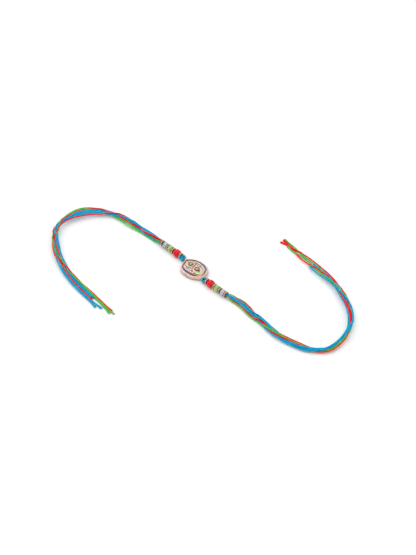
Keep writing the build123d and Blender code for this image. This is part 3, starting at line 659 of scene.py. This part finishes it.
def settle(offset, height, lasting, freed, thickness):
    """Let a side's threads push each other apart and sink on to the surface, as they would lie."""
    laid = offset.copy()
    pairs = [(a, b) for a in range(len(offset)) for b in range(a)]
    floor = thickness / 2
    for _ in range(SETTLE_ROUNDS):
        height -= SINK_STEP * freed
        offset += PULL_BACK * (laid - offset)
        for a, b in pairs:
            aside = offset[a] - offset[b]
            above = height[a] - height[b]
            apart = np.sqrt(aside**2 + above**2) + 1e-9
            kept_apart = SOFTNESS * (thickness[a] + thickness[b]) / 2
            push = np.clip(kept_apart - apart, 0, None) / 2 * lasting[a] * lasting[b] * freed
            offset[a] += push * aside / apart
            offset[b] -= push * aside / apart
            height[a] += push * above / apart
            height[b] -= push * above / apart
        for row in range(len(offset)):
            offset[row] += freed * (blurred(offset[row], 3) - offset[row])
            height[row] += freed * (blurred(height[row], 4) - height[row])
        height[:] = np.maximum(height, floor)
    return offset, height


def route_line(side):
    """A side's route as even points, their distances from the beads and the way inwards at each."""
    route = [EXITS[side], Vector(LEADS[side]) * MM]
    route += [Vector((x, y, BUNDLE_REST)) * MM for x, y in ROUTES[side]]
    line, along = even_line(smooth_line(f"{side}_route", route), STEP)
    ahead = np.gradient(line, axis=0)
    ahead /= np.linalg.norm(ahead, axis=1)[:, None]
    inward = np.stack([-ahead[:, 1], ahead[:, 0], np.zeros(len(line))], axis=1)
    inward /= np.linalg.norm(inward, axis=1)[:, None]
    return line, along, inward


def settled_lanes(lanes, along):
    """Each thread's offset and height along the route, and where it lasts, once the threads have settled."""
    ring = bore_ring(len(lanes), BORE_TURN)
    order = sorted(lanes, key=lambda name: lanes[name][0][1])
    ring_places = dict(zip(order, sorted(ring)))
    opened = np.clip(along / OPENING, 0, 1)
    fanned = np.clip(along / FANNING, 0, 1)
    spread = np.sin(fanned * math.pi / 2) ** 0.8
    drop = (1 - np.cos(opened * math.pi)) / 2
    offset, height, lasting = [], [], []
    for name, stops in lanes.items():
        at, aside, layer = (np.array(values, float) for values in zip(*stops))
        lane = blurred(np.interp(along, at * MM, aside * MM), 8)
        level = blurred(np.interp(along, at * MM, LOWEST + layer * LAYER), 9)
        ring_aside, ring_above = ring_places[name]
        offset.append(ring_aside + (lane - ring_aside) * spread)
        height.append(STRING_HEIGHT + ring_above + (level - STRING_HEIGHT - ring_above) * drop)
        lasting.append((along <= at[-1] * MM + STEP).astype(float))
    squeezed = SQUEEZED + (1 - SQUEEZED) * np.clip(along / FULL_FROM, 0, 1)
    thickness = np.array([THREADS[name.split("_")[0]] * squeezed for name in lanes])
    freed = np.clip((along - FREED_FROM) / FREED_OVER, 0, 1)
    offset, height = settle(np.array(offset), np.array(height), lasting, freed, thickness)
    return offset, height, lasting


def bowed_up(side, along):
    """How far a side's bundle is moved by its bows.

    A bowed stretch comes nearer to the camera as it rises, so that it stays where the photograph shows it.
    """
    bow = blurred(np.interp(along, *np.array(BOWS[side]).T * MM), BOW_BLUR)
    nearer = np.array([math.sin(CAMERA_AZIMUTH), -math.cos(CAMERA_AZIMUTH), 0]) / math.tan(CAMERA_ELEVATION)
    return bow[:, None] * (nearer + np.array([0, 0, 1]))


def lay_threads(side):
    """Centrelines of one side's threads: along the route's line, each in its own wandering lane."""
    line, along, inward = route_line(side)
    lanes = LANES[side]
    offset, height, lasting = settled_lanes(lanes, along)
    bowed = bowed_up(side, along)
    bore_way = EXITS[side] - Vector(LEADS[side]) * MM
    paths = {}
    in_bore = np.array(bore_way.normalized()) * BORE_START
    for row, name in enumerate(lanes):
        last = int(np.sum(lasting[row]))
        path = line[:last] + inward[:last] * offset[row][:last, None]
        path[:, 2] = height[row][:last]
        path += bowed[:last]
        lead = [path[0] + in_bore * share for share in (1, 0.75, 0.5, 0.25)]
        paths[name] = np.concatenate([lead, path])
    return paths


def turning_frames(path):
    """Directions across a path that turn with it and never flip."""
    ahead = np.gradient(path, axis=0)
    ahead /= np.linalg.norm(ahead, axis=1)[:, None]
    aside = [np.cross(ahead[0], (0, 0, 1))]
    for way in ahead[1:]:
        kept = aside[-1] - way * np.dot(aside[-1], way)
        aside.append(kept / np.linalg.norm(kept))
    aside = np.array(aside)
    return ahead, aside, np.cross(ahead, aside)


def ply_points(path, radius, ply, aside, up):
    """Rings of points round a path, each the outline of two plies side by side, turned by the twist."""
    points = []
    for number, centre in enumerate(path):
        for side in range(PLY_SIDES):
            angle = 2 * math.pi * side / PLY_SIDES
            reach = radius[number] * (1 - PLY_DEPTH + PLY_DEPTH * math.cos(2 * angle))
            turn = angle + ply[number]
            point = centre + reach * (math.cos(turn) * aside[number] + math.sin(turn) * up[number])
            point[2] = max(point[2], OFF_FLOOR)
            points.append(point)
    return points


def side_faces(rings):
    """Faces between each ring of points and the next."""
    faces = []
    for ring in range(rings - 1):
        base = ring * PLY_SIDES
        for side in range(PLY_SIDES):
            after = (side + 1) % PLY_SIDES
            faces.append((base + side, base + after, base + PLY_SIDES + after, base + PLY_SIDES + side))
    return faces


def close_ends(points, faces, path, radius, ahead):
    """Close a thread's two ends with low cones."""
    for ring, way in ((0, -1), (len(path) - 1, 1)):
        base = ring * PLY_SIDES
        middle = len(points)
        points.append(path[ring] + way * END_CONE * radius[ring] * ahead[ring])
        for side in range(PLY_SIDES):
            corners = (base + side, base + (side + 1) % PLY_SIDES, middle)
            faces.append(corners if way > 0 else corners[::-1])


def twisted_thread(name, path, thickness, finish, chance, frayed=True):
    """A two-ply thread along a path, closed at both ends, with a tuft of fibres if its last end is cut."""
    ahead, aside, up = turning_frames(path)
    distance = np.concatenate([[0], np.cumsum(np.linalg.norm(np.diff(path, axis=0), axis=1))])
    radius = np.interp(distance, *thickness) / 2
    radius *= 1 + 0.04 * np.sin(distance / (7.3 * MM) + chance.uniform(0, 6))
    if frayed:
        near_end = np.clip((distance - distance[-1] + FRAYED_LENGTH) / FRAYED_LENGTH, 0, 1)
        radius *= 1 + FRAYED * near_end**1.5
    start_turn = chance.uniform(0, 2 * math.pi)
    ply = start_turn + 2 * math.pi * distance / PLY_PITCH
    points = ply_points(path, radius, ply, aside, up)
    faces = side_faces(len(path))
    close_ends(points, faces, path, radius, ahead)
    rows = len(path)
    if frayed:
        add_tuft(points, faces, path[-1], ahead[-1], aside[-1], up[-1], radius[-1], chance)
    mesh = bpy.data.meshes.new(name)
    mesh.from_pydata([tuple(p) for p in points], [], faces)
    map_thread(mesh, rows, distance)
    mesh.materials.append(finish)
    mesh.shade_smooth()
    piece = bpy.data.objects.new(name, mesh)
    bpy.context.collection.objects.link(piece)
    return piece, distance[-1]


def add_tuft(points, faces, tip, ahead, aside, up, radius, chance):
    """Loose fibres that splay from a cut end, each a thin closed spike."""
    for _ in range(TUFT_FIBRES):
        around = chance.uniform(0, 2 * math.pi)
        out = chance.uniform(0.1, 0.8)
        across = math.cos(around) * aside + math.sin(around) * up
        root = tip - 0.3 * MM * ahead + across * radius * out
        way = ahead + across * chance.uniform(0.1, 0.6)
        end = root + way * chance.uniform(0.6, 1.5) * MM
        end[2] = max(end[2], 0.06 * MM)
        base = len(points)
        for corner in range(3):
            angle = 2 * math.pi * corner / 3
            points.append(root + TUFT_FIBRE / 2 * (math.cos(angle) * aside + math.sin(angle) * up))
        points.append(end)
        faces.append((base + 2, base + 1, base))
        for corner in range(3):
            faces.append((base + corner, base + (corner + 1) % 3, base + 3))


def map_thread(mesh, rows, distance):
    """Unroll a thread: once round across the map, and the distance along it in metres."""
    layer = mesh.uv_layers.new(name="UVMap")
    for polygon in mesh.polygons:
        corners = [mesh.loops[loop].vertex_index for loop in polygon.loop_indices]
        rings = [corner // PLY_SIDES for corner in corners]
        places = [corner % PLY_SIDES for corner in corners]
        wraps = max(places) - min(places) > PLY_SIDES // 2
        for loop, ring, place in zip(polygon.loop_indices, rings, places):
            around = (PLY_SIDES if wraps and place == 0 else place) / PLY_SIDES
            layer.data[loop].uv = (around, distance[min(ring, rows - 1)])


def thread_tails(finishes):
    """The loose threads of both sides, each a free cord that is cut and bare at its end."""
    chance = random.Random(11)
    for side in ("left", "right"):
        opened = FULL_FROM + BORE_START
        for name, path in lay_threads(side).items():
            colour = name.split("_")[0]
            full = THREADS[colour]
            in_bore = SQUEEZED * full
            stops = [0, BORE_START, opened, LOOSE_FROM, LOOSE_AT]
            thickness = (stops, [in_bore, in_bore, full, full, LOOSENED * full])
            label = f"thread_{side}_{name}"
            piece, length = twisted_thread(label, path, thickness, finishes[colour], chance)
            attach(piece, "root")
            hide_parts(f"thread_tail_{side}")


def loop_line(side):
    """Middle line of the threads folded through one eye and back through the beads."""
    sign = 1 if side == "right" else -1
    along = Vector((sign * math.cos(STRING_TURN), sign * math.sin(STRING_TURN), 0))
    across = Vector((0, 0, 1)).cross(along)
    corner_radius = LOOP_RADIUS / math.cos(LOOP_BEND_STEP)
    arm = [(reach, CORE_ARM) for reach in (CORE_END, 12 * MM, 5 * MM, 3.2 * MM)]
    arm.append((2.45 * MM, 0.6 * MM))
    bend = []
    for number in (3, 5, 7):
        angle = number * LOOP_BEND_STEP
        bend.append((LOOP_RADIUS + corner_radius * math.cos(angle), corner_radius * math.sin(angle)))
    half = arm + bend
    plan = half + [(x, -y) for x, y in reversed(half)]
    points = []
    for x, y in plan:
        rise = min(1, max(0, x) / FIRST_BEAD)
        height = EYE_HEIGHT + (STRING_HEIGHT - EYE_HEIGHT) * rise
        spread = min(1, abs(y) / LOOP_RADIUS) - CORE_ARM / LOOP_RADIUS
        lean = sign * LOOP_LEAN * y * max(0, spread)
        base = Vector((sign * EYE_CENTRE, 0, height + lean))
        points.append(base + along * x + across * y)
    return smooth_line(f"{side}_loop", points)


def thread_loops(finish):
    """Blue threads that go through each thread eye, folded, and on through the beads."""
    chance = random.Random(5)
    for side in ("left", "right"):
        line, along = even_line(loop_line(side), STEP)
        _, aside, up = turning_frames(line)
        middle = along[-1] / 2
        arm_length = CORE_END - FIRST_BEAD
        from_end = np.minimum(along, along[-1] - along)
        open_share = np.clip((from_end - arm_length + 0.5 * MM) / (1.2 * MM), 0, 1)
        thick = CORE_THREAD + (LOOP_THREAD - CORE_THREAD) * open_share
        twist = (along - middle) / along[-1] * LOOP_TWIST
        for number in range(LOOP_STRANDS):
            angle = 2 * math.pi * (number + 0.5) / LOOP_STRANDS + twist
            away = 0.7 * thick
            path = line + away[:, None] * (np.cos(angle)[:, None] * aside + np.sin(angle)[:, None] * up)
            label = f"thread_loop_{side}_{number + 1}"
            piece, _ = twisted_thread(label, path, (along, thick), finish, chance, frayed=False)
            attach(piece, "root")
            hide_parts(f"thread_core_{side}")


def pale_floor():
    """Plain pale card that the bracelet lies on."""
    bpy.ops.object.select_all(action="DESELECT")
    bpy.ops.mesh.primitive_plane_add(size=8, location=(0, 0, 0))
    floor = bpy.context.object
    floor.name = "floor"
    floor.data.transform(Matrix.Translation((0, 0, -0.02 * MM)))
    card = Finish("white_card", Roughness=0.9, Specular_IOR_Level=0.1)
    card.colour(card.mixed(card.mottle(0.4, 2.0) * 0.15, tint(250, 250, 250), tint(246, 246, 247)))
    floor.data.materials.append(card.material)


def studio_light(level, right):
    """Soft light from all round, and three round lamps placed as seen from the camera."""
    world = bpy.data.worlds.new("studio")
    world.use_nodes = True
    world.node_tree.nodes["Background"].inputs[0].default_value = (0.955, 0.958, 0.965, 1)
    world.node_tree.nodes["Background"].inputs[1].default_value = 0.67
    bpy.context.scene.world = world

    # Name, place to the right, nearer and up in metres, size, power, colour
    lamps = [
        ("key_light", -0.50, -0.60, 1.40, 2.9, 18.6, (1.0, 0.99, 0.975)),
        ("fill_light", 0.90, 0.50, 0.90, 1.0, 3.0, (0.98, 0.99, 1.0)),
        ("sparkle_light", -0.25, 0.35, 1.30, 0.14, 1.2, (1.0, 1.0, 1.0)),
    ]
    for name, rightwards, nearer, up, size, power, colour in lamps:
        lamp = bpy.data.lights.new(name, "AREA")
        lamp.shape = "DISK"
        lamp.size = size
        lamp.energy = power
        lamp.color = colour
        holder = bpy.data.objects.new(name, lamp)
        holder.location = CAMERA_AIM + right * rightwards + level * nearer + Vector((0, 0, up))
        holder.rotation_euler = (holder.location - CAMERA_AIM).to_track_quat("Z", "Y").to_euler()
        bpy.context.collection.objects.link(holder)


def photograph_camera(towards):
    """Camera at the photograph's angle."""
    camera = bpy.data.cameras.new("camera")
    camera.sensor_fit = "HORIZONTAL"
    camera.sensor_width = SENSOR
    camera.lens = SENSOR * CAMERA_DISTANCE / VIEW_WIDTH
    camera.clip_end = 20
    holder = bpy.data.objects.new("camera", camera)
    holder.location = CAMERA_AIM + towards * CAMERA_DISTANCE
    holder.rotation_euler = towards.to_track_quat("Z", "Y").to_euler()
    bpy.context.collection.objects.link(holder)
    bpy.context.scene.camera = holder
    bpy.context.scene.view_settings.view_transform = "Standard"


def lights_and_camera():
    """Floor, light and camera, all set out from the way towards the camera."""
    towards = Vector((
        math.sin(CAMERA_AZIMUTH) * math.cos(CAMERA_ELEVATION),
        -math.cos(CAMERA_AZIMUTH) * math.cos(CAMERA_ELEVATION),
        math.sin(CAMERA_ELEVATION),
    ))
    level = Vector((towards.x, towards.y, 0)).normalized()
    right = Vector((0, 0, 1)).cross(level)
    pale_floor()
    studio_light(level, right)
    photograph_camera(towards)


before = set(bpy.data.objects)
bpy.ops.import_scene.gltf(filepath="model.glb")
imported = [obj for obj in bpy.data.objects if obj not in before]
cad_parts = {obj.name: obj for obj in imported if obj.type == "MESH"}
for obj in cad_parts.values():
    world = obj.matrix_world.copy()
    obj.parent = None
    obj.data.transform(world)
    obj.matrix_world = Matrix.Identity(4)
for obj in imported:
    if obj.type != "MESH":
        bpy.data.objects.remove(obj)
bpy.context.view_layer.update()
paint_cad_nodes(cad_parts)
# Each thread's lit colour, its shaded copy for painted shade, and its worn colour.
thread_finishes = {
    "blue": thread_finish("blue_thread", tint(0, 196, 240), tint(0, 112, 166), tint(24, 212, 248)),
    "red": thread_finish("red_thread", tint(255, 10, 22), tint(226, 0, 8), tint(255, 44, 44)),
    "green": thread_finish("green_thread", tint(96, 224, 92), tint(44, 152, 50), tint(150, 236, 116)),
}
thread_tails(thread_finishes)
thread_loops(thread_finishes["blue"])
lights_and_camera()
